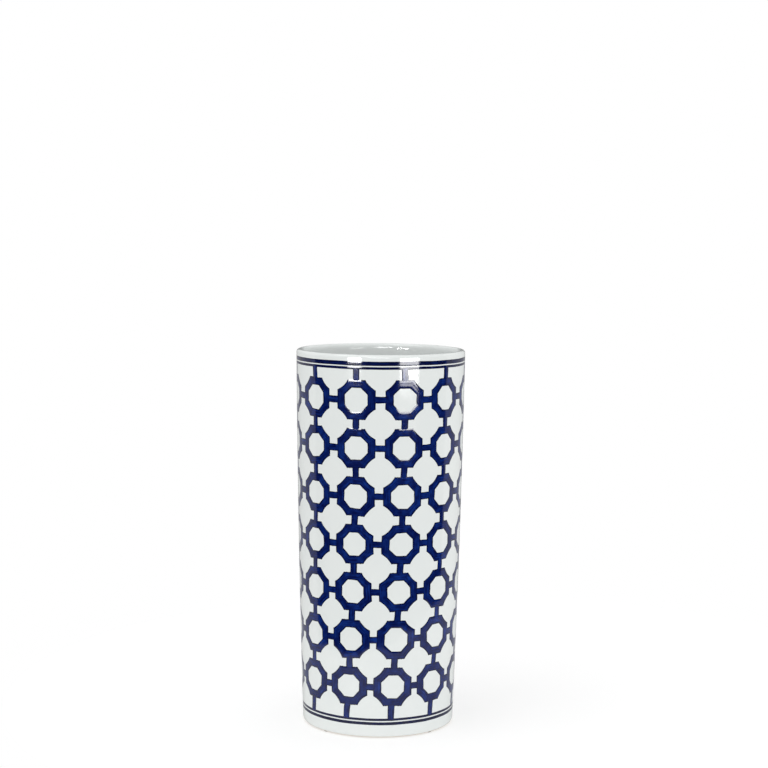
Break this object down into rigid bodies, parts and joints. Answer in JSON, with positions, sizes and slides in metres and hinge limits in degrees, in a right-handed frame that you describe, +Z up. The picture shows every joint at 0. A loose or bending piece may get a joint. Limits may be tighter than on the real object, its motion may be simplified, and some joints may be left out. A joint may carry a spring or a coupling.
{
  "type": "umbrella stand",
  "caption": "Round tapered ceramic umbrella stand, open at the top, with a painted lattice of linked octagons between band lines.",
  "frame": {"origin": "on the floor, at the centre of the foot", "axes": "+Z up along the stand's axis; -Y is the front; +X is to the right seen from the front"},
  "size_m": [0.205, 0.205, 0.457],
  "materials": {
    "glazed_clay": "gloss white glaze on fired clay, bare clay under the foot",
    "cobalt_bands": "gloss, dense cobalt lines under a clear glaze",
    "cobalt_lattice": "gloss, brushed cobalt strokes under a clear glaze",
    "felt": "pressed felt"
  },
  "bodies": {
    "root": {"body": "glazed_clay", "floor_pads": "felt", "rim_line_wide": "cobalt_bands", "rim_line_fine": "cobalt_bands", "base_line_fine": "cobalt_bands", "base_line_wide": "cobalt_bands", "octagons_row_1": "cobalt_lattice", "octagons_row_2": "cobalt_lattice", "octagons_row_3": "cobalt_lattice", "octagons_row_4": "cobalt_lattice", "octagons_row_5": "cobalt_lattice", "octagons_row_6": "cobalt_lattice", "octagons_row_7": "cobalt_lattice", "side_links_row_1": "cobalt_lattice", "side_links_row_2": "cobalt_lattice", "side_links_row_3": "cobalt_lattice", "side_links_row_4": "cobalt_lattice", "side_links_row_5": "cobalt_lattice", "side_links_row_6": "cobalt_lattice", "side_links_row_7": "cobalt_lattice", "upright_links_tier_1": "cobalt_lattice", "upright_links_tier_2": "cobalt_lattice", "upright_links_tier_3": "cobalt_lattice", "upright_links_tier_4": "cobalt_lattice", "upright_links_tier_5": "cobalt_lattice", "upright_links_tier_6": "cobalt_lattice", "upright_links_tier_7": "cobalt_lattice", "upright_links_tier_8": "cobalt_lattice"}
  },
  "joints": []
}
